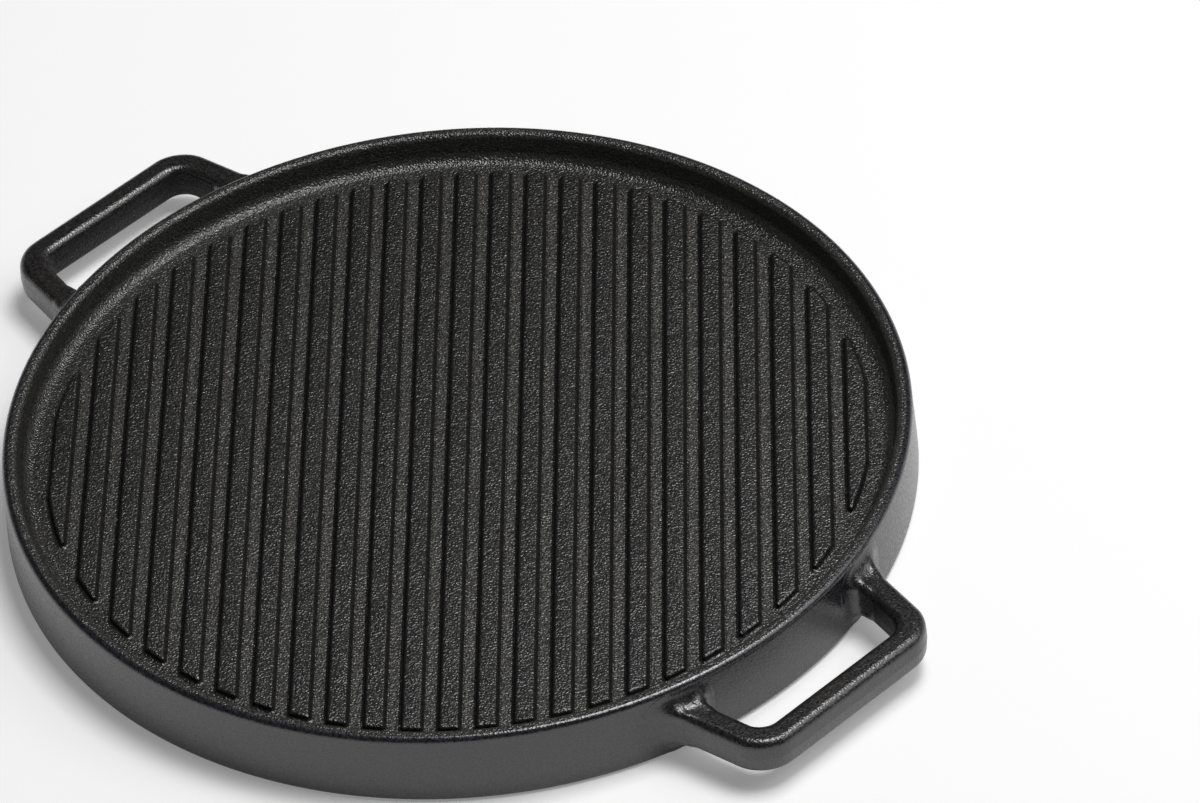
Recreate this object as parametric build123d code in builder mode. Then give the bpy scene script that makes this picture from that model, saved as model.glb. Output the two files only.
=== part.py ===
from build123d import *
from math import radians, tan
import os

os.makedirs("parts", exist_ok=True)

# A round, two-sided griddle plate in cast iron. The ribbed side is up, +Z.
# The origin is the centre of the smooth side's rim, where the plate rests.
# The casting is made as its web, its rim, its bars and its two loop handles.
# All sizes are in millimetres.

# Height of the casting, and the two recesses that leave the web between them
plate_height = 26.4
ribbed_depth = 10.5
smooth_depth = 9.0
web_bottom = smooth_depth
web_top = plate_height - ribbed_depth
web_radius = 138.0

# The outer wall has one draft, so the ribbed side's rim is a little smaller
rim_radius_smooth = 152.1
rim_radius_ribbed = 150.8
rim_width = 4.9
crown_edge_break = 1.2

# The rim's inner walls lean outwards and run into the floors in a cove
ribbed_wall_lean = 6.0
smooth_wall_lean = 10.0
ribbed_cove_radius = 4.2
smooth_cove_radius = 8.0

# The wide cove is drawn as flats that stay within a quarter of a millimetre of its curve
smooth_cove_flats = 3

# Bars across the ribbed floor, at 45 degrees to the line between the handles
bar_count = 23
bar_pitch = 12.0
bar_angle = -45.0
bar_height = 2.1
bar_foot_width = 7.2
bar_foot_circle_radius = 137.0
bar_side_draft = 14.0
bar_edge_break = 0.5

# Loop handles, one at each end of the X axis, at mid-height of the wall
handle_reach = 182.4
handle_thickness = 13.0
handle_bottom = (plate_height - handle_thickness) / 2
handle_bar_width = 9.8
handle_leg_width = 10.2
handle_half_width = 43.8
handle_half_width_at = 160.0
handle_leg_lean = 10.1
handle_outer_corner = 14.0
handle_inner_corner = 6.0
handle_edge_break = 1.5

# The legs grow out of the wall as short lugs, with a fillet around each root
lug_end = 156.0
lug_root_radius = 148.5
lug_start = 136.0
root_fillet = 3.2


def leg_offset(distance):
    """Sideways distance from the X axis to the outside of a handle leg."""
    return handle_half_width - (distance - handle_half_width_at) * tan(radians(handle_leg_lean))


# Places that follow from the sizes above
ribbed_inner_edge = rim_radius_ribbed - rim_width
smooth_inner_edge = rim_radius_smooth - rim_width
ribbed_floor_edge = ribbed_inner_edge - ribbed_depth * tan(radians(ribbed_wall_lean))
smooth_floor_edge = smooth_inner_edge - smooth_depth * tan(radians(smooth_wall_lean))
handle_opening_end = handle_reach - handle_bar_width

# The web is the round floor that both cooking sides share
with BuildPart() as web:
    with BuildSketch(Plane.XY.offset(web_bottom)):
        Circle(web_radius)
    extrude(amount=web_top - web_bottom)

web.part.label = "web"
export_step(web.part, "parts/web.step")

# The whole handle blank: a loop with leaning legs that run in under the rim
with BuildPart() as handle_blank:
    with BuildSketch(Plane.XY.offset(handle_bottom)):
        with BuildLine():
            FilletPolyline(
                (lug_start, leg_offset(lug_start)),
                (handle_reach, leg_offset(handle_reach)),
                (handle_reach, -leg_offset(handle_reach)),
                (lug_start, -leg_offset(lug_start)),
                radius=handle_outer_corner,
            )
            Line((lug_start, -leg_offset(lug_start)), (lug_start, leg_offset(lug_start)))
        make_face()
        with BuildLine():
            FilletPolyline(
                (lug_start, leg_offset(lug_start) - handle_leg_width),
                (handle_opening_end, leg_offset(handle_opening_end) - handle_leg_width),
                (handle_opening_end, handle_leg_width - leg_offset(handle_opening_end)),
                (lug_start, handle_leg_width - leg_offset(lug_start)),
                radius=handle_inner_corner,
            )
            Line(
                (lug_start, handle_leg_width - leg_offset(lug_start)),
                (lug_start, leg_offset(lug_start) - handle_leg_width),
            )
        make_face(mode=Mode.SUBTRACT)
    extrude(amount=handle_thickness)
    long_edges = handle_blank.edges().group_by(Axis.Z)[0] + handle_blank.edges().group_by(Axis.Z)[-1]
    long_edges = long_edges.filter_by(lambda edge: edge.center().X > lug_start + 1)
    chamfer(long_edges, length=handle_edge_break)

# The handle proper is the part of the loop outside the lugs
with BuildPart() as handle_right:
    add(handle_blank.part)
    split(bisect_by=Plane.YZ.offset(lug_end), keep=Keep.TOP)

handle_right.part.label = "handle_right"
export_step(handle_right.part, "parts/handle_right.step")

with BuildPart() as handle_left:
    add(handle_right.part.rotate(Axis.Z, 180))

handle_left.part.label = "handle_left"
export_step(handle_left.part, "parts/handle_left.step")

# The four lugs, cut back so that they end inside the rim's own metal
with BuildPart() as lugs:
    add(handle_blank.part)
    split(bisect_by=Plane.YZ.offset(lug_end), keep=Keep.BOTTOM)
    with BuildSketch(Plane.XY):
        Circle(lug_root_radius)
    extrude(amount=plate_height, mode=Mode.SUBTRACT)
    add(lugs.part.rotate(Axis.Z, 180))

# The rim is one turned section: crown, coves and outer wall, on both sides
with BuildPart() as rim:
    with BuildSketch(Plane.XZ) as section:
        with BuildLine():
            smooth_wall = FilletPolyline(
                (smooth_inner_edge, 0),
                (smooth_floor_edge, web_bottom),
                (web_radius, web_bottom),
                radius=smooth_cove_radius,
                mode=Mode.PRIVATE,
            )
            smooth_cove = smooth_wall.edges().filter_by(GeomType.CIRCLE)[0]
            cove_corners = [smooth_cove @ (flat / smooth_cove_flats) for flat in range(smooth_cove_flats + 1)]
            cove_corners.sort(key=lambda corner: corner.Y)
            Polyline(
                (web_radius, web_top),
                (ribbed_floor_edge, web_top),
                (ribbed_inner_edge, plate_height),
                (rim_radius_ribbed, plate_height),
                (rim_radius_smooth, 0),
                (smooth_inner_edge, 0),
                *cove_corners,
                (web_radius, web_bottom),
                close=True,
            )
        make_face()
        ribbed_corners = section.vertices().filter_by(lambda corner: abs(corner.Y - web_top) < 0.01)
        fillet(ribbed_corners.sort_by(Axis.X)[-1], radius=ribbed_cove_radius)
        crown_corners = section.vertices().group_by(Axis.Y)[0] + section.vertices().group_by(Axis.Y)[-1]
        chamfer(crown_corners, length=crown_edge_break)
    revolve(axis=Axis.Z)
    add(lugs.part)
    root_edges = rim.edges(Select.NEW)
    fillet(root_edges, radius=root_fillet)

rim.part.label = "rim"
export_step(rim.part, "parts/rim.step")

# The bars are alike, and the circle of their ends cuts each to its own length
for bar_number in range(1, bar_count + 1):
    bar_offset = (bar_number - (bar_count + 1) / 2) * bar_pitch
    with BuildPart() as bar:
        with BuildSketch(Plane.XY.offset(web_top)):
            with Locations(Location((0, 0, 0), (0, 0, bar_angle))):
                with Locations((0, bar_offset)):
                    Rectangle(2 * bar_foot_circle_radius, bar_foot_width)
            Circle(bar_foot_circle_radius, mode=Mode.INTERSECT)
        extrude(amount=bar_height, taper=bar_side_draft)
        chamfer(bar.faces().sort_by(Axis.Z)[-1].edges(), length=bar_edge_break)
    bar_name = f"bar_{bar_number:02d}"
    bar.part.label = bar_name
    export_step(bar.part, f"parts/{bar_name}.step")
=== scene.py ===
# %% [markdown]
# A round cast iron griddle plate, ribbed on one side and smooth on the other, with
# a loop handle at each end. The imported model is the fixed frame: it says where every
# part of the casting is, in metres, with the ribbed side up (+Z) and the handles on
# the X axis. The first lines load it and keep its parts, whose boxes give sizes below.

# %% Load the frame
from math import atan2, cos, hypot, pi, radians, sin, sqrt, tan

import bmesh
import bpy
from mathutils import Matrix, Vector


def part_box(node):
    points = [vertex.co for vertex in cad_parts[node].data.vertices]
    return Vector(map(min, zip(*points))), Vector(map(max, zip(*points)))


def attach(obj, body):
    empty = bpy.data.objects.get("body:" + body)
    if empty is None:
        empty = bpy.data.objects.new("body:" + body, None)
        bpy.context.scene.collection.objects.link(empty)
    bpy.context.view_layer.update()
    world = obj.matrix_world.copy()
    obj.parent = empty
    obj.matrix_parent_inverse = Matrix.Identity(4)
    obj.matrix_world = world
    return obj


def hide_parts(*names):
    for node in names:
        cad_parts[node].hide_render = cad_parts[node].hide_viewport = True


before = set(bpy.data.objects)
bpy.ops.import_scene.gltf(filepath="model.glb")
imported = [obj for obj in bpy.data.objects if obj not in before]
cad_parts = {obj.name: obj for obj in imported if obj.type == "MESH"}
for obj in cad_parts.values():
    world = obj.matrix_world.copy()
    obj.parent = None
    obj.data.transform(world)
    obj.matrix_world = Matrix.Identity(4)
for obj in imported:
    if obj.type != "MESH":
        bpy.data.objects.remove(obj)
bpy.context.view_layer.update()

# %% [markdown]
# Every size below is in metres. Heights are read from the frame's nodes, so they
# can't drift from the casting. The radii are those of the casting's turned rim: the
# outer wall has one draft, so the ribbed side is a little smaller across.

# %% Sizes of the casting
mm = 0.001
plate_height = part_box("rim")[1].z
web_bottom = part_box("web")[0].z
web_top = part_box("web")[1].z
rim_radius_smooth = 152.1 * mm
rim_radius_ribbed = 150.8 * mm
rim_width = 4.9 * mm
rim_outer_rounding = 2.1 * mm
rim_inner_rounding = 2.0 * mm
ribbed_wall_lean = radians(6)
smooth_wall_lean = radians(10)
ribbed_cove_radius = 4.2 * mm
smooth_cove_radius = 8.0 * mm

ribbed_inner_edge = rim_radius_ribbed - rim_width
smooth_inner_edge = rim_radius_smooth - rim_width
ribbed_floor_edge = ribbed_inner_edge - (plate_height - web_top) * tan(ribbed_wall_lean)
smooth_floor_edge = smooth_inner_edge - web_bottom * tan(smooth_wall_lean)
print("height", round(plate_height / mm, 1), "mm, web", round((web_top - web_bottom) / mm, 1), "mm thick")

# %% [markdown]
# Two small helpers serve more than one piece. The first turns a finished bmesh into
# an object: it merges doubles, points every face outwards, shades the surface smooth
# and adds a Weighted Normal modifier, which keeps the big flat faces flat beside
# their rounded edges. The second rounds the corners of a flat outline to real radii
# with a vertex bevel. The bevel's offset is the tangent length and not the radius,
# so the helper works one out from the other.

# %% Helpers for making pieces
doubles_within = 0.002 * mm
casting = bpy.data.collections.new("griddle_plate")
bpy.context.scene.collection.children.link(casting)


def finish_piece(mesh, name, material, nodes):
    """Makes the bmesh an object that rides on the plate in place of the named nodes."""
    bmesh.ops.remove_doubles(mesh, verts=mesh.verts, dist=doubles_within)
    bmesh.ops.recalc_face_normals(mesh, faces=mesh.faces)
    for face in mesh.faces:
        face.smooth = True
    data = bpy.data.meshes.new(name)
    mesh.to_mesh(data)
    mesh.free()
    piece = bpy.data.objects.new(name, data)
    casting.objects.link(piece)
    data.materials.append(material)
    weighted = piece.modifiers.new("flat faces stay flat", "WEIGHTED_NORMAL")
    weighted.keep_sharp = False
    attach(piece, "root")
    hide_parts(*nodes)
    return piece


def round_corners(mesh, corners, radii, segments):
    """Rounds chosen corners of a flat outline, each to its own radius."""
    for corner, radius in zip(corners, radii):
        arms = [edge.other_vert(corner).co - corner.co for edge in corner.link_edges]
        turn = pi - arms[0].angle(arms[1])
        bmesh.ops.bevel(
            mesh,
            geom=[corner],
            offset=radius * tan(turn / 2),
            offset_type="OFFSET",
            affect="VERTICES",
            segments=segments,
            profile=0.5,
            material=-1,
        )


# %% [markdown]
# The camera comes next. It is far off with a long lens, about 42 degrees above the
# table, and looks almost along the bars. A camera is easiest to read as a place, a
# point that it looks at and a roll.

# %% Camera
camera_place = Vector((1.41689, -1.17236, 1.67746))
camera_aim = Vector((0.00773, 0.05687, 0.0))
camera_roll = radians(-5.21)
camera_lens = 224.32
sensor_width = 36.0
camera_far_limit = 20.0

camera_data = bpy.data.cameras.new("camera")
camera_data.lens = camera_lens
camera_data.sensor_width = sensor_width
camera_data.sensor_fit = "HORIZONTAL"
camera_data.clip_end = camera_far_limit
camera = bpy.data.objects.new("camera", camera_data)
bpy.context.scene.collection.objects.link(camera)
look = (camera_aim - camera_place).to_track_quat("-Z", "Y").to_matrix().to_4x4()
camera.matrix_world = Matrix.Translation(camera_place) @ look @ Matrix.Rotation(camera_roll, 4, "Z")
bpy.context.scene.camera = camera
print("camera", round((camera_aim - camera_place).length, 3), "m from the plate")

# %% [markdown]
# The iron is built from shader nodes, and three kinds of node do most of the work:
# noise of a real size, a Map Range that turns part of a value's range into another,
# and Math. Each gets a function that adds the node, sets it and returns its output.
# The functions are then nested like a formula, which is shorter than a drawn tree.

# %% Helpers for wiring nodes


def add_noise(tree, vector, size, detail):
    """Noise whose lumps are about one size across, in metres."""
    node = tree.nodes.new("ShaderNodeTexNoise")
    node.inputs["Scale"].default_value = 1 / size
    node.inputs["Detail"].default_value = detail
    node.inputs["Roughness"].default_value = 0.5
    tree.links.new(vector, node.inputs["Vector"])
    return node.outputs["Fac"]


def add_range(tree, value, limits, results):
    """Turns a value between two limits into a result between two others."""
    node = tree.nodes.new("ShaderNodeMapRange")
    for socket, setting in zip(("From Min", "From Max", "To Min", "To Max"), (*limits, *results)):
        node.inputs[socket].default_value = setting
    tree.links.new(value, node.inputs["Value"])
    return node.outputs["Result"]


def add_maths(tree, operation, *values):
    """One Math node, fed by numbers and by other nodes' outputs."""
    node = tree.nodes.new("ShaderNodeMath")
    node.operation = operation
    for socket, value in zip(node.inputs, values):
        if isinstance(value, float):
            socket.default_value = value
        else:
            tree.links.new(value, socket)
    return node.outputs["Value"]


# %% [markdown]
# Seasoned cast iron is nearly black, with a dull shine from its baked oil. A sand
# mould leaves a fine grain on it: bumps a few tenths of a millimetre across, and
# here and there a grain that catches the light. Everything reads Object coordinates,
# so the pattern sits still on the metal, and a seed shifts it, so that no two irons
# repeat each other. The sizes come first: they say how large each pattern is.

# %% Sizes of the iron's patterns
patch_size = 45 * mm
patch_tones = (0.88, 1.12)
mottle_size = 0.8 * mm
mottle_tones = (0.1, 2.2)
noise_middle = (0.35, 0.65)
warm_patch_size = 30 * mm
warm_patch_limits = (0.4, 0.6)

glint_spacing = 1.15 * mm
glint_edge = (0.12, 0.34)
# How much each glint brightens the colour, as a painted highlight.
painted_glint_gain = 10.0
glint_polish = 0.18
glint_relief = 0.6

dull_patch_size = 0.9 * mm
dull_patch_limits = (0.3, 0.7)
dull_swing = 0.08
grain_size = 0.66 * mm
skin_size = 6 * mm
skin_relief = 0.6
iron_refraction = 1.75
print("grain", round(grain_size / mm, 2), "mm, glints about", round(glint_spacing / mm, 2), "mm apart")

# %% [markdown]
# The glints are a Voronoi pattern: its cells have random colours, so a threshold on
# one channel picks a share of them, and the distance to a cell's point draws a soft
# dot there. Each dot is a painted highlight in the colour, and it also polishes and
# raises its grain. The tone is two tints in slow patches, times a fine mottle.

# %% Parts of the iron


def shifted_place(tree, seed):
    """Object coordinates, moved by the seed."""
    place = tree.nodes.new("ShaderNodeTexCoord")
    shift = tree.nodes.new("ShaderNodeMapping")
    shift.inputs["Location"].default_value = (seed, 2 * seed, 3 * seed)
    tree.links.new(place.outputs["Object"], shift.inputs["Vector"])
    return shift.outputs["Vector"]


def iron_glints(tree, vector, share):
    """Single grains, picked at random, as soft dots."""
    grains = tree.nodes.new("ShaderNodeTexVoronoi")
    grains.inputs["Scale"].default_value = 1 / glint_spacing
    tree.links.new(vector, grains.inputs["Vector"])
    chosen = tree.nodes.new("ShaderNodeSeparateColor")
    tree.links.new(grains.outputs["Color"], chosen.inputs["Color"])
    picked = add_range(tree, chosen.outputs["Red"], (1 - share, 1), (0, 1))
    near = add_range(tree, grains.outputs["Distance"], glint_edge, (1, 0))
    return add_maths(tree, "MULTIPLY", picked, near)


def iron_tone(tree, vector, glint):
    """How light the iron is: slow patches times a fine mottle, plus the glints as painted highlights."""
    patches = add_range(tree, add_noise(tree, vector, patch_size, 3), noise_middle, patch_tones)
    mottle = add_range(tree, add_noise(tree, vector, mottle_size, 1), noise_middle, mottle_tones)
    tone = add_maths(tree, "MULTIPLY", patches, mottle)
    return add_maths(tree, "ADD", tone, add_maths(tree, "MULTIPLY", glint, painted_glint_gain))


def iron_tint(tree, vector, colour, warmth):
    """The iron's two tints, in slow patches."""
    tint = tree.nodes.new("ShaderNodeMix")
    tint.data_type = "RGBA"
    tint.inputs["A"].default_value = (*colour, 1)
    tint.inputs["B"].default_value = (*warmth, 1)
    warm = add_range(tree, add_noise(tree, vector, warm_patch_size, 2), warm_patch_limits, (0, 1))
    tree.links.new(warm, tint.inputs["Factor"])
    return tint.outputs["Result"]


def iron_relief(tree, vector, glint):
    """The sand grain, a slow unevenness of the skin, and the glints standing proud."""
    fine = add_noise(tree, vector, grain_size, 0)
    slow = add_noise(tree, vector, skin_size, 2)
    height = add_maths(tree, "ADD", fine, add_maths(tree, "MULTIPLY", slow, skin_relief))
    return add_maths(tree, "ADD", height, add_maths(tree, "MULTIPLY", glint, glint_relief))


# %% [markdown]
# One function puts the parts together, so all the irons are one family. The node
# that multiplies tint by tone is named, so that painted light and shade can be graded
# into the tone later.

# %% Cast iron material


def cast_iron(name, colour, warmth, roughness, grain_height, glint_share, seed, refraction=iron_refraction):
    """A procedural seasoned iron: tone, shine and relief at their real sizes."""
    material = bpy.data.materials.new(name)
    material.use_nodes = True
    tree = material.node_tree
    shader = tree.nodes["Principled BSDF"]
    shader.inputs["Metallic"].default_value = 0.0
    shader.inputs["IOR"].default_value = refraction
    vector = shifted_place(tree, seed)
    glint = iron_glints(tree, vector, glint_share)

    shade = tree.nodes.new("ShaderNodeVectorMath")
    shade.name = "shade"
    shade.operation = "SCALE"
    tree.links.new(iron_tint(tree, vector, colour, warmth), shade.inputs["Vector"])
    tree.links.new(iron_tone(tree, vector, glint), shade.inputs["Scale"])
    tree.links.new(shade.outputs["Vector"], shader.inputs["Base Color"])

    shine_limits = (roughness + dull_swing, roughness - dull_swing)
    dull = add_range(tree, add_noise(tree, vector, dull_patch_size, 2), dull_patch_limits, shine_limits)
    polished = add_maths(tree, "MULTIPLY", glint, glint_polish)
    tree.links.new(add_maths(tree, "SUBTRACT", dull, polished), shader.inputs["Roughness"])

    relief = tree.nodes.new("ShaderNodeBump")
    relief.inputs["Distance"].default_value = grain_height
    relief.inputs["Strength"].default_value = 1.0
    tree.links.new(iron_relief(tree, vector, glint), relief.inputs["Height"])
    tree.links.new(relief.outputs["Normal"], shader.inputs["Normal"])
    return material


# %% [markdown]
# Six irons come from it. The cooking floors and the bars keep the mould's grain. The
# walls and the handles are dressed smoother. The flanks of the bars and the insides
# of the loops get duller, darker irons, which are painted shade: they keep the lines
# beside the bars and the insides of the loops dark.

# %% Irons of the cooking faces
floor_iron = cast_iron(
    "cast_iron_floor",
    colour=(0.0128, 0.0123, 0.0110),
    warmth=(0.0138, 0.0130, 0.0115),
    roughness=0.36,
    grain_height=0.34 * mm,
    glint_share=0.24,
    seed=1.7,
)
bar_iron = cast_iron(
    "cast_iron_bars",
    colour=(0.0084, 0.0079, 0.0068),
    warmth=(0.0095, 0.0084, 0.0072),
    roughness=0.36,
    grain_height=0.34 * mm,
    glint_share=0.2,
    seed=4.1,
)
print("cooking faces:", floor_iron.name, bar_iron.name)

# %% Irons of the walls and the handles
# The walls' iron is tinted blue: a painted reflection of cool, bluish light on the wall.
wall_iron = cast_iron(
    "cast_iron_walls",
    colour=(0.0090, 0.0087, 0.0130),
    warmth=(0.0098, 0.0094, 0.0130),
    roughness=0.28,
    grain_height=0.08 * mm,
    glint_share=0.02,
    seed=7.3,
)
handle_iron = cast_iron(
    "cast_iron_handles",
    colour=(0.0098, 0.0092, 0.0088),
    warmth=(0.0112, 0.0098, 0.0093),
    roughness=0.3,
    grain_height=0.12 * mm,
    glint_share=0.1,
    seed=6.4,
)
print("dressed smoother:", wall_iron.name, handle_iron.name)

# %% Duller, darker irons for painted shade
# Painted shade: darker, duller copies of the iron for shaded flanks and loop insides.
flank_shade_iron = cast_iron(
    "cast_iron_flanks_painted_shade",
    colour=(0.0075, 0.0073, 0.0070),
    warmth=(0.0085, 0.0078, 0.0074),
    roughness=0.75,
    grain_height=0.2 * mm,
    glint_share=0.02,
    seed=5.9,
    refraction=1.3,
)
loop_inside_shade_iron = cast_iron(
    "cast_iron_loop_insides_painted_shade",
    colour=(0.0085, 0.0080, 0.0077),
    warmth=(0.0105, 0.0092, 0.0087),
    roughness=0.6,
    grain_height=0.3 * mm,
    glint_share=0.15,
    seed=9.2,
    refraction=1.4,
)
print("duller:", flank_shade_iron.name, loop_inside_shade_iron.name)

# %% [markdown]
# The colour carries painted light and shade across the bars: the valleys between them
# are painted lighter, most on their lit side, and each bar is painted darker along its
# shaded side. That could be painted by hand, but the bars repeat, so a formula does
# it: a dot product measures the way across them, a fraction folds that into one strip,
# and a Map Range grades the tone over the strip. The grade is fixed on the object, and
# two masks keep it on the ribbed floor, one by radius and one by height.

# %% Painted light and shade across the bars
bar_pitch = 12.0 * mm
bar_angle = radians(-45)
bar_end_radius = 137.0 * mm
grade_fades_over = 3 * mm
side_fades_over = 1 * mm


def ribbed_floor_mask(tree, place):
    """One on the ribbed floor inside the circle of the bars' ends, and nought elsewhere."""
    flat = tree.nodes.new("ShaderNodeVectorMath")
    flat.operation = "MULTIPLY"
    flat.inputs[1].default_value = (1, 1, 0)
    tree.links.new(place, flat.inputs[0])
    reach = tree.nodes.new("ShaderNodeVectorMath")
    reach.operation = "LENGTH"
    tree.links.new(flat.outputs["Vector"], reach.inputs[0])
    rim_limits = (bar_end_radius - grade_fades_over, bar_end_radius)
    within = add_range(tree, reach.outputs["Value"], rim_limits, (1, 0))
    parts = tree.nodes.new("ShaderNodeSeparateXYZ")
    tree.links.new(place, parts.inputs["Vector"])
    web_middle = (web_bottom + web_top) / 2
    above = add_range(tree, parts.outputs["Z"], (web_middle, web_middle + side_fades_over), (0, 1))
    return add_maths(tree, "MULTIPLY", within, above)


def paint_light_and_shade_across(material, centre, limits, light_and_shade_gains):
    """Paints light and shade into the tone, graded beside each strip's centre line."""
    tree = material.node_tree
    shade = tree.nodes["shade"]
    even_tone = shade.inputs["Scale"].links[0].from_socket
    place = tree.nodes.new("ShaderNodeTexCoord").outputs["Object"]
    across = tree.nodes.new("ShaderNodeVectorMath")
    across.operation = "DOT_PRODUCT"
    across.inputs[1].default_value = (-sin(bar_angle) / bar_pitch, cos(bar_angle) / bar_pitch, 0)
    tree.links.new(place, across.inputs[0])
    strip = add_maths(tree, "FRACT", add_maths(tree, "ADD", across.outputs["Value"], 0.5 - centre))
    places = [0.5 + limit / bar_pitch for limit in limits]
    painted_light_and_shade = add_range(tree, strip, places, [gain - 1 for gain in light_and_shade_gains])
    factor = add_maths(tree, "MULTIPLY_ADD", painted_light_and_shade, ribbed_floor_mask(tree, place), 1.0)
    tree.links.new(add_maths(tree, "MULTIPLY", even_tone, factor), shade.inputs["Scale"])


# Painted light on the valleys, and painted shade along one side of each bar.
paint_light_and_shade_across(floor_iron, centre=0.5, limits=(-1.7 * mm, 1.9 * mm), light_and_shade_gains=(2.6, 1.72))
paint_light_and_shade_across(bar_iron, centre=0.0, limits=(-2.8 * mm, 0.6 * mm), light_and_shade_gains=(0.1, 1.0))
print("tone graded on", floor_iron.name, "and", bar_iron.name)

# %% [markdown]
# The body of the plate is a turned form: one section through the rim and the web,
# drawn on the XZ plane and spun once round the Z axis. Its corners are the sharp
# ones of the drawing, which the bevel then rounds: two coves, two inner edges and
# two outer edges of the crown. A spin gives clean rings of faces, so the metal
# shades evenly all the way round.

# %% Plate body: the section
corner_segments = 8

section = bmesh.new()
outline = [
    (0, web_top),
    (ribbed_floor_edge, web_top),
    (ribbed_inner_edge, plate_height),
    (rim_radius_ribbed, plate_height),
    (rim_radius_smooth, 0),
    (smooth_inner_edge, 0),
    (smooth_floor_edge, web_bottom),
    (0, web_bottom),
]
corners = [section.verts.new((x, 0, z)) for x, z in outline]
section.faces.new(corners)
roundings = [
    ribbed_cove_radius,
    rim_inner_rounding,
    rim_outer_rounding,
    rim_outer_rounding,
    rim_inner_rounding,
    smooth_cove_radius,
]
round_corners(section, corners[1:-1], roundings, corner_segments)
print("section points:", len(section.verts))

# %% [markdown]
# Before the spin the face goes, because only the outline is turned, and so does the
# edge that lies on the axis. The two long floor lines are divided, so that the floors
# get rings of faces too and not one fan of slivers.

# %% Plate body: the spin
turn_steps = 432
floor_rings = 9
on_axis_within = 0.001 * mm
floor_line_length = 0.5 * smooth_floor_edge

bmesh.ops.delete(section, geom=section.faces[:], context="FACES_ONLY")
on_axis = [edge for edge in section.edges if all(vert.co.x < on_axis_within for vert in edge.verts)]
bmesh.ops.delete(section, geom=on_axis, context="EDGES")
floor_lines = [edge for edge in section.edges if edge.calc_length() > floor_line_length]
bmesh.ops.subdivide_edges(section, edges=floor_lines, cuts=floor_rings, use_grid_fill=False)
bmesh.ops.spin(
    section,
    geom=section.verts[:] + section.edges[:],
    cent=(0, 0, 0),
    axis=(0, 0, 1),
    dvec=(0, 0, 0),
    angle=2 * pi,
    steps=turn_steps,
    use_merge=True,
    use_duplicate=False,
)
plate_body = finish_piece(section, "plate_body", floor_iron, ["web", "rim"])
print("plate body faces:", len(plate_body.data.polygons))

# %% [markdown]
# The outer wall is dressed smoother than the floors. They are the same mesh, so the
# face's place decides which of two material slots it has: from where the crown's
# outer rounding starts, everything further out is wall.

# %% Plate body: the smoother wall
wall_starts_at = rim_radius_ribbed - rim_outer_rounding

plate_body.data.materials.append(wall_iron)
wall_faces = 0
for face in plate_body.data.polygons:
    if hypot(face.center.x, face.center.y) > wall_starts_at:
        face.material_index = 1
        wall_faces += 1
print("wall faces:", wall_faces)

# %% [markdown]
# A handle is a flat loop, whose legs lean together as they leave the wall. The first
# cell has its sizes, and two places that depend on them: where a leg's outside is, and
# how far a point stands off the drafted wall.

# %% Handle sizes
handle_reach = 182.4 * mm
handle_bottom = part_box("handle_right")[0].z
handle_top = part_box("handle_right")[1].z
handle_bar_width = 9.8 * mm
handle_leg_width = 10.2 * mm
handle_half_width = 43.8 * mm
handle_half_width_at = 160.0 * mm
handle_leg_lean = radians(10.1)
handle_outer_corner = 14.0 * mm
handle_inner_corner = 6.0 * mm
handle_edge_rounding = 3.0 * mm
handle_draft = radians(4)
handle_root_plane = 158.0 * mm


def leg_offset(distance):
    """Sideways distance from the X axis to the outside of a handle leg."""
    return handle_half_width - (distance - handle_half_width_at) * tan(handle_leg_lean)


def wall_distance(point):
    """How far a point stands off the drafted outer wall."""
    share = point.z / plate_height
    wall_radius = rim_radius_smooth + (rim_radius_ribbed - rim_radius_smooth) * share
    return hypot(point.x, point.y) - wall_radius


print("handle", round((handle_top - handle_bottom) / mm, 1), "mm thick")

# %% [markdown]
# The loop's plan is a U, drawn as one flat face at mid-height. An extrusion would give
# it square sides, but a casting has draft, so that it leaves the mould. So the face
# gets a hair of thickness, and then its upper and its lower face are each inset and
# lifted in small steps, which follow the drafted side and the rounded edge. A cut
# leaves the legs open at the root plane, ready for their fillets.

# %% Profiles that are raised


def shoulder_points(start, radius, slope, steps):
    """A rounding from a steep side to a level top, as points that begin at its start."""
    points = []
    for step in range(steps + 1):
        turn = slope * (1 - step / steps)
        run = radius * (sin(slope) - sin(turn))
        rise = radius * (cos(turn) - cos(slope))
        points.append((start[0] + run, start[1] + rise))
    return points


def raise_profile(mesh, face, profile):
    """Insets and lifts a flat face step by step, along the points of a profile."""
    for here, after in zip(profile, profile[1:]):
        bmesh.ops.inset_region(
            mesh,
            faces=[face],
            thickness=after[0] - here[0],
            depth=after[1] - here[1],
            use_even_offset=True,
            use_boundary=True,
        )


# %% Handle plan and loop
handle_rounding_steps = 8
inner_corner_segments = 12
outer_corner_segments = 18
leg_spare = 8 * mm
plan_thickness = 0.02 * mm
level_enough = 0.5


def handle_side():
    """The profile of a handle's side, from its mid-height to its top or bottom face."""
    slope = pi / 2 - handle_draft
    straight = (handle_top - handle_bottom) / 2 - handle_edge_rounding * (1 - cos(slope))
    start = (straight * tan(handle_draft), straight)
    return [(0, 0)] + shoulder_points(start, handle_edge_rounding, slope, handle_rounding_steps)


def mirrored(points):
    """The same points on the other side of the X axis, in the opposite order."""
    return [(x, -y) for x, y in reversed(points)]


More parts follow.
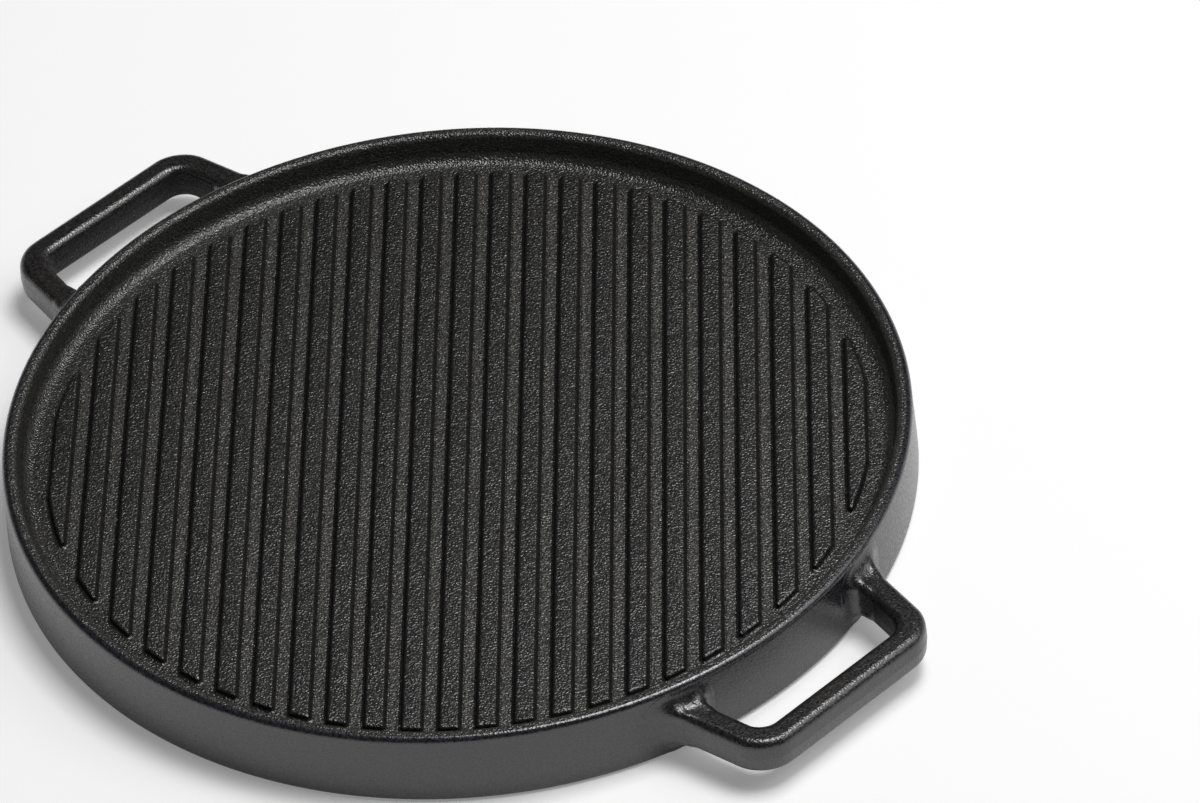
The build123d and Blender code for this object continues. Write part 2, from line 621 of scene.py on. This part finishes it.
def handle_plan():
    """The flat U of the loop, with its four corners rounded, as a bmesh of one face."""
    mesh = bmesh.new()
    leg_start = handle_root_plane - leg_spare
    opening_end = handle_reach - handle_bar_width
    inner = [
        (leg_start, leg_offset(leg_start) - handle_leg_width),
        (opening_end, leg_offset(opening_end) - handle_leg_width),
    ]
    outer = [
        (handle_reach, leg_offset(handle_reach)),
        (leg_start, leg_offset(leg_start)),
    ]
    plan = inner + mirrored(inner) + mirrored(outer) + outer
    middle = (handle_bottom + handle_top) / 2
    corners = [mesh.verts.new((x, y, middle)) for x, y in plan]
    mesh.faces.new(corners)
    round_corners(mesh, [corners[1], corners[2]], [handle_inner_corner] * 2, inner_corner_segments)
    round_corners(mesh, [corners[5], corners[6]], [handle_outer_corner] * 2, outer_corner_segments)
    return mesh


def handle_loop():
    """The loop, with drafted sides and rounded edges, cut open at the root plane."""
    mesh = handle_plan()
    raised = bmesh.ops.extrude_face_region(mesh, geom=mesh.faces[:])["geom"]
    raised = [part for part in raised if isinstance(part, bmesh.types.BMVert)]
    bmesh.ops.translate(mesh, vec=(0, 0, plan_thickness), verts=raised)
    bmesh.ops.recalc_face_normals(mesh, faces=mesh.faces)
    flats = [face for face in mesh.faces if abs(face.normal.z) > level_enough]
    for flat in flats:
        raise_profile(mesh, flat, handle_side())
    bmesh.ops.bisect_plane(
        mesh,
        geom=mesh.verts[:] + mesh.edges[:] + mesh.faces[:],
        plane_co=(handle_root_plane, 0, 0),
        plane_no=(-1, 0, 0),
        clear_outer=True,
    )
    return mesh


# %% [markdown]
# At the wall each leg spreads into a fillet. A bevel needs a clean corner where two
# surfaces meet, and here a leaning leg meets a round, drafted wall. So the open end
# of the leg is extruded ring by ring towards the wall instead. Each point keeps, in
# two layers of the mesh, where it started and which way is outwards, and extruding
# copies both. A ring is then pushed outwards by what a round fillet asks for at that
# distance from the wall. The last ring lies just inside the wall, and a face closes it.

# %% Shape of the fillets
root_side_fillet = 6.5 * mm
root_top_fillet = 5.4 * mm
root_start = 9.5 * mm
root_sharpening = 2.0 * mm
fillet_rings = 18
sunk = 0.4 * mm


def fillet_spread(radius, gap):
    """How far a round fillet has spread when it is this far from the wall."""
    depth = max(radius - gap, 0)
    return radius - sqrt(radius * radius - depth * depth)


def root_ring(step):
    """A ring's gap to the wall, its spread to the side and to the top, and its sharpening."""
    gap = root_start * (1 - sin(min(step / fillet_rings, 1) * pi / 2))
    near = min((root_start - gap) / (root_start - root_top_fillet), 1)
    sharpen = root_sharpening * near * near * (3 - 2 * near)
    to_side = fillet_spread(root_side_fillet, gap)
    to_top = fillet_spread(root_top_fillet, gap)
    if step > fillet_rings:
        gap = -sunk
    return gap, to_side, to_top, sharpen


# %% Fillets where the legs meet the wall
straight_line_length = 2 * mm
straight_line_cuts = 5
settling_rounds = 8


def open_ring(mesh, side):
    """The edges round the open end of one leg."""
    return [
        edge
        for edge in mesh.edges
        if len(edge.link_faces) == 1 and all(vert.co.y * side > 0 for vert in edge.verts)
    ]


def spread_leg(mesh, side):
    """Runs one open leg on to the wall, with a fillet all round its root."""
    lines = [edge for edge in open_ring(mesh, side) if edge.calc_length() > straight_line_length]
    bmesh.ops.subdivide_edges(mesh, edges=lines, cuts=straight_line_cuts)
    ring = open_ring(mesh, side)
    away = Vector((cos(handle_leg_lean), -side * sin(handle_leg_lean), 0))
    mesh.normal_update()
    base = mesh.verts.layers.float_vector.get("base") or mesh.verts.layers.float_vector.new("base")
    out = mesh.verts.layers.float_vector.get("out") or mesh.verts.layers.float_vector.new("out")
    for vert in {vert for edge in ring for vert in edge.verts}:
        normal = vert.normal - away * vert.normal.dot(away)
        vert[base] = vert.co
        vert[out] = normal.normalized()
    for step in range(fillet_rings + 2):
        gap, to_side, to_top, sharpen = root_ring(step)
        grown = bmesh.ops.extrude_edge_only(mesh, edges=ring)["geom"]
        fresh = {part for part in grown if isinstance(part, bmesh.types.BMVert)}
        for vert in fresh:
            way = vert[out]
            corner = hypot(way.x, way.y) + abs(way.z) - 1
            spread = Vector((way.x * to_side, way.y * to_side, way.z * to_top))
            point = vert[base] + spread + way * corner * sharpen
            for _ in range(settling_rounds):
                point = point - away * (wall_distance(point) - gap)
            vert.co = point
        ring = [
            part
            for part in grown
            if isinstance(part, bmesh.types.BMEdge) and all(vert in fresh for vert in part.verts)
        ]
    bmesh.ops.holes_fill(mesh, edges=ring, sides=0)


# %% [markdown]
# The two handles are the same casting, half a turn apart. A face's slope and place
# decide which of three irons it has: the top and the bottom have the handles' iron,
# the insides of the loop the duller, darker one as painted shade, and the rest the
# walls' iron with its painted blue reflection.

# %% The two handles
handle_top_slope = 0.5


def make_handle(name, node, turn):
    """One handle, turned about the Z axis to its end of the plate."""
    mesh = handle_loop()
    for side in (1, -1):
        spread_leg(mesh, side)
    bmesh.ops.rotate(mesh, cent=(0, 0, 0), matrix=Matrix.Rotation(turn, 3, "Z"), verts=mesh.verts)
    handle = finish_piece(mesh, name, wall_iron, [node])
    handle.data.materials.append(loop_inside_shade_iron)
    handle.data.materials.append(handle_iron)
    for face in handle.data.polygons:
        along = abs(face.center.x)
        within_bar = handle_root_plane < along < handle_reach - handle_bar_width / 2
        within_legs = abs(face.center.y) < leg_offset(along) - handle_leg_width / 2
        if abs(face.normal.z) > handle_top_slope:
            face.material_index = 2
        elif within_bar and within_legs:
            face.material_index = 1
    return handle


near_handle = make_handle("handle_loop_right", "handle_right", 0)
far_handle = make_handle("handle_loop_left", "handle_left", pi)
print("handle faces:", len(near_handle.data.polygons), len(far_handle.data.polygons))

# %% [markdown]
# The grill bars all end on one circle, as if a disc had been sliced into strips. A
# bar's outline is therefore two straight flanks and two arcs, with four small
# roundings where they meet. Insetting that outline would be the short way to raise
# it, but on the short outermost bars the corners run into each other. So the bar is
# lofted: the outline is worked out again at each height, a little smaller each time,
# along the profile of the bar's side: a fillet at the foot, a drafted flank and a
# rounded shoulder.

# %% Bar sizes
bar_nodes = sorted(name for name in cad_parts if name.startswith("bar_"))
bar_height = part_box(bar_nodes[0])[1].z - web_top
bar_foot_width = 7.2 * mm
bar_draft = radians(14)
bar_foot_fillet = 1.1 * mm
bar_shoulder = 1.1 * mm
bar_foot_corner = 1.9 * mm
bar_top_corner = 0.5 * mm
bar_sunk = 0.3 * mm

fillet_run = bar_foot_fillet * cos(bar_draft)
fillet_rise = bar_foot_fillet * (1 - sin(bar_draft))
bar_foot_spread = fillet_run - fillet_rise * tan(bar_draft)
print("bars:", len(bar_nodes), "nodes,", round(bar_height / mm, 2), "mm high")

# %% Side and outline of a bar
fillet_steps = 5
shoulder_steps = 6
bar_corner_steps = 7
bar_end_steps = 16


def bar_side():
    """The profile of a bar's side, as (inwards, upwards) from the edge of its foot."""
    slope = pi / 2 - bar_draft
    points = [(0, -bar_sunk)]
    for step in range(fillet_steps + 1):
        turn = slope * step / fillet_steps
        points.append((bar_foot_fillet * sin(turn), bar_foot_fillet * (1 - cos(turn))))
    shoulder_foot = bar_height - bar_shoulder * (1 - cos(slope))
    straight = shoulder_foot - points[-1][1]
    inwards = points[-1][0] + straight / tan(slope)
    return points + shoulder_points((inwards, shoulder_foot), bar_shoulder, slope, shoulder_steps)


def arc_points(centre, radius, start, end, steps):
    """Points along an arc, both ends included."""
    angles = [start + (end - start) * step / steps for step in range(steps + 1)]
    return [(centre[0] + radius * cos(angle), centre[1] + radius * sin(angle)) for angle in angles]


def bar_outline(offset, half_width, end_radius, corner):
    """The outline of one bar at one height, anticlockwise from its right end."""
    reach = end_radius - corner
    low = offset - half_width + corner
    high = offset + half_width - corner
    low_x = sqrt(reach * reach - low * low)
    high_x = sqrt(reach * reach - high * high)
    low_turn = atan2(low, low_x)
    high_turn = atan2(high, high_x)
    right_end = arc_points((0, 0), end_radius, low_turn, high_turn, bar_end_steps)
    left_end = [(-x, y) for x, y in reversed(right_end)]
    outline = right_end[1:-1]
    outline += arc_points((high_x, high), corner, high_turn, pi / 2, bar_corner_steps)
    outline += arc_points((-high_x, high), corner, pi / 2, pi - high_turn, bar_corner_steps)
    outline += left_end[1:-1]
    outline += arc_points((-low_x, low), corner, pi - low_turn, 3 * pi / 2, bar_corner_steps)
    outline += arc_points((low_x, low), corner, -pi / 2, low_turn, bar_corner_steps)
    return outline


# %% [markdown]
# Every outline has the same number of points, so the rings join up in plain quads,
# and one face closes each end of the loft. The top of a bar keeps the bars' iron. Its
# steep flanks get the duller, darker one, painted shade that draws the dark lines
# beside it. The bar runs along X until it is turned, and after that a face's normal
# says which way it looks: one end of the bar is steeper before it counts as flank,
# and the other never does.

# %% One bar
bar_flank_slope = 0.88
bar_end_slope = 0.55
bar_end_turn = 0.4


def bar_loft(offset):
    """The bar as a closed bmesh, still along the X axis."""
    mesh = bmesh.new()
    rings = []
    for inwards, height in bar_side():
        outline = bar_outline(
            offset,
            bar_foot_width / 2 + bar_foot_spread - inwards,
            bar_end_radius + bar_foot_spread - inwards,
            max(bar_foot_corner - inwards, bar_top_corner),
        )
        rings.append([mesh.verts.new((x, y, web_top + height)) for x, y in outline])
    for lower, upper in zip(rings, rings[1:]):
        for here in range(len(lower)):
            after = (here + 1) % len(lower)
            mesh.faces.new((lower[here], lower[after], upper[after], upper[here]))
    mesh.faces.new(list(reversed(rings[0])))
    mesh.faces.new(rings[-1])
    return mesh


def make_bar(name, node, offset):
    """One bar, turned to its angle, with duller, darker flanks as painted shade."""
    mesh = bar_loft(offset)
    bmesh.ops.rotate(mesh, cent=(0, 0, 0), matrix=Matrix.Rotation(bar_angle, 3, "Z"), verts=mesh.verts)
    bar = finish_piece(mesh, name, bar_iron, [node])
    bar.data.materials.append(flank_shade_iron)
    for face in bar.data.polygons:
        towards_near_end = face.normal.x - face.normal.y
        slope = bar_end_slope if towards_near_end > bar_end_turn else bar_flank_slope
        if face.normal.z < slope and towards_near_end > -bar_end_turn:
            face.material_index = 1
    return bar


# %% [markdown]
# A loop makes all the bars, one for each node of the frame, from one side of the
# plate to the other. The circle gives each its own length.

# %% All the bars
bars = []
for number, node in enumerate(bar_nodes):
    offset = (number - (len(bar_nodes) - 1) / 2) * bar_pitch
    bars.append(make_bar("grill_" + node, node, offset))
print("bars:", len(bars), "with", len(bars[0].data.polygons), "faces in the first")

# %% [markdown]
# The nodes of the frame are hidden behind these pieces. They still get an iron, so
# that the model looks right wherever a node is shown by itself.

# %% Iron on the frame's own nodes
for name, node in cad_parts.items():
    node.material_slots[0].material = bar_iron if name.startswith("bar_") else wall_iron
print("nodes with iron:", len(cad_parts))

# %% [markdown]
# The studio is a white table in a room with low pale walls and a dark ceiling. The
# table is one large flat face, which isn't part of the plate.

# %% Table
table_tone = 0.93
table_roughness = 0.9
table_size = 24.0

table_mesh = bmesh.new()
bmesh.ops.create_grid(table_mesh, x_segments=1, y_segments=1, size=table_size / 2)
table_data = bpy.data.meshes.new("table")
table_mesh.to_mesh(table_data)
table_mesh.free()
table = bpy.data.objects.new("table", table_data)
bpy.context.scene.collection.objects.link(table)
print("table", table_size, "m wide")

# %% [markdown]
# The table has to look white without more light falling on the plate. A brighter
# lamp would do both, so the paint gives off a little light instead, and Light Path
# shows it only to camera, glossy and transmission rays. The plate's reflections see
# the same white table, and its shadow stays.

# %% Table paint
table_lift = 0.22

table_paint = bpy.data.materials.new("table_white")
table_paint.use_nodes = True
paint_nodes = table_paint.node_tree.nodes
paint_links = table_paint.node_tree.links
paint = paint_nodes["Principled BSDF"]
paint.inputs["Base Color"].default_value = (table_tone, table_tone, table_tone, 1)
paint.inputs["Roughness"].default_value = table_roughness
paint.inputs["Specular IOR Level"].default_value = 0.0
rays = paint_nodes.new("ShaderNodeLightPath")
lifted = rays.outputs["Is Camera Ray"]
for kind in ("Is Glossy Ray", "Is Transmission Ray"):
    lifted = add_maths(table_paint.node_tree, "MAXIMUM", lifted, rays.outputs[kind])
lift = add_maths(table_paint.node_tree, "MULTIPLY", lifted, table_lift)
paint.inputs["Emission Color"].default_value = (1, 1, 1, 1)
paint_links.new(lift, paint.inputs["Emission Strength"])
table_data.materials.append(table_paint)
print("table tone", table_tone, "lifted by", table_lift)

# %% [markdown]
# The room is the world's light, a ramp from pale walls to a dark ceiling. It goes by
# height alone, so the metal reflects the same room that the camera sees, from every
# side. The low walls and the table light the outer wall of the plate.

# %% Room
wall_tone = 0.5
ceiling_tone = 0.05
wall_top = 0.05
ceiling_start = 0.28

world = bpy.data.worlds.new("studio")
bpy.context.scene.world = world
world.use_nodes = True
world_nodes = world.node_tree.nodes
world_links = world.node_tree.links
background = world_nodes["Background"]
direction = world_nodes.new("ShaderNodeTexCoord")
parts = world_nodes.new("ShaderNodeSeparateXYZ")
world_links.new(direction.outputs["Generated"], parts.inputs["Vector"])
height_ramp = world_nodes.new("ShaderNodeMapRange")
height_ramp.interpolation_type = "SMOOTHSTEP"
height_ramp.inputs["From Min"].default_value = wall_top
height_ramp.inputs["From Max"].default_value = ceiling_start
height_ramp.inputs["To Min"].default_value = wall_tone
height_ramp.inputs["To Max"].default_value = ceiling_tone
world_links.new(parts.outputs["Z"], height_ramp.inputs["Value"])
background.inputs["Color"].default_value = (1, 1, 1, 1)
world_links.new(height_ramp.outputs["Result"], background.inputs["Strength"])
print("room: walls", wall_tone, "ceiling", ceiling_tone)

# %% [markdown]
# One soft lamp hangs over the plate, a little to the right of the camera's line. Its
# reflection draws the coves, the crown and the shoulders of the handles. A wider and
# dimmer one, far to the right, fills in.

# %% Lamps
key_place = Vector((0.19, 0.50, 1.92))
key_width = 0.92
key_depth = 0.78
key_power = 26.0
fill_place = Vector((1.3, 1.6, 2.0))
fill_width = 1.6
fill_power = 16.0


def soft_lamp(name, place, width, depth, power):
    """A rectangular lamp that points at the middle of the plate."""
    data = bpy.data.lights.new(name, "AREA")
    data.shape = "RECTANGLE"
    data.size = width
    data.size_y = depth
    data.energy = power
    lamp = bpy.data.objects.new(name, data)
    bpy.context.scene.collection.objects.link(lamp)
    aim = (Vector((0, 0, 0)) - place).to_track_quat("-Z", "Y").to_matrix().to_4x4()
    lamp.matrix_world = Matrix.Translation(place) @ aim
    print(name, round(place.length, 2), "m from the plate")


soft_lamp("key", key_place, key_width, key_depth, key_power)
soft_lamp("fill", fill_place, fill_width, fill_width, fill_power)
bpy.context.scene.view_settings.view_transform = "Standard"
